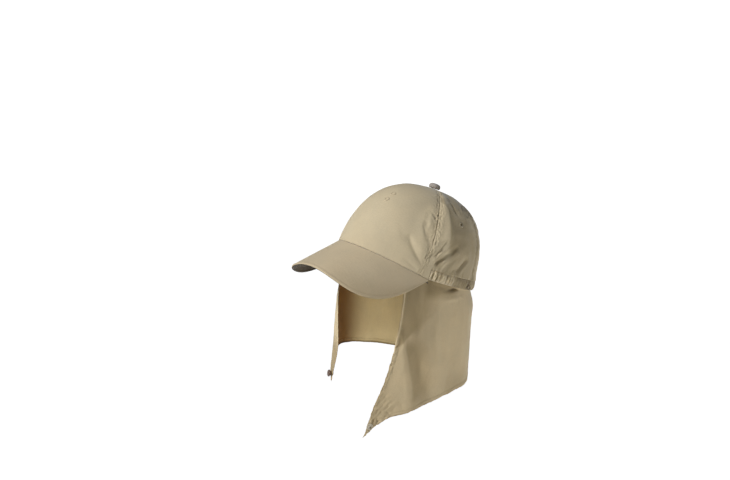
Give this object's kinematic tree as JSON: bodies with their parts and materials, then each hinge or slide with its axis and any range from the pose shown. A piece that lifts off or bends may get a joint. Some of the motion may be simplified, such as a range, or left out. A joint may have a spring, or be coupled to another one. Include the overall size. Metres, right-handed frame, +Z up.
{
  "type": "sun cape hat",
  "caption": "Five-panel cloth sun cap with a curved bill, elastic casing at the back of the rim, and a neck cape that ends in two long front flaps with snaps, held as it is worn.",
  "frame": {"origin": "centre of the head opening at the level of the rim over the ears, where the hat sits on a head", "axes": "+Z up as worn, the bill points to -Y, the wearer's left is +X; the crown is tilted back so that the front of the rim is higher than the nape"},
  "size_m": [0.1741, 0.2855, 0.3179],
  "materials": {
    "crown_cloth": "khaki poplin, matt with a faint sheen",
    "bill_cloth": "khaki poplin over a stiff board",
    "cape_cloth": "light khaki poplin, soft and matt",
    "casing_cloth": "khaki poplin, gathered over elastic",
    "button_cloth": "cloth-covered button, slightly greyer",
    "eyelet_thread": "tone on tone embroidery thread",
    "snap_dark": "dark brown snap cap",
    "snap_pale": "pale snap socket",
    "ring_dark": "small dark ring"
  },
  "bodies": {
    "root": {"front_panel": "crown_cloth", "side_panel_left": "crown_cloth", "side_panel_right": "crown_cloth", "back_panel_left": "crown_cloth", "back_panel_right": "crown_cloth", "bill": "bill_cloth", "elastic_casing": "casing_cloth", "neck_cape": "cape_cloth", "top_button": "button_cloth", "eyelet_front_upper": "eyelet_thread", "eyelet_front_lower": "eyelet_thread", "eyelet_side_left": "eyelet_thread", "eyelet_side_right": "eyelet_thread", "eyelet_back_left": "eyelet_thread", "eyelet_back_right": "eyelet_thread", "snap_cap_right": "snap_dark", "snap_socket_left": "snap_pale", "casing_ring_left": "ring_dark", "casing_ring_right": "ring_dark"}
  },
  "joints": []
}
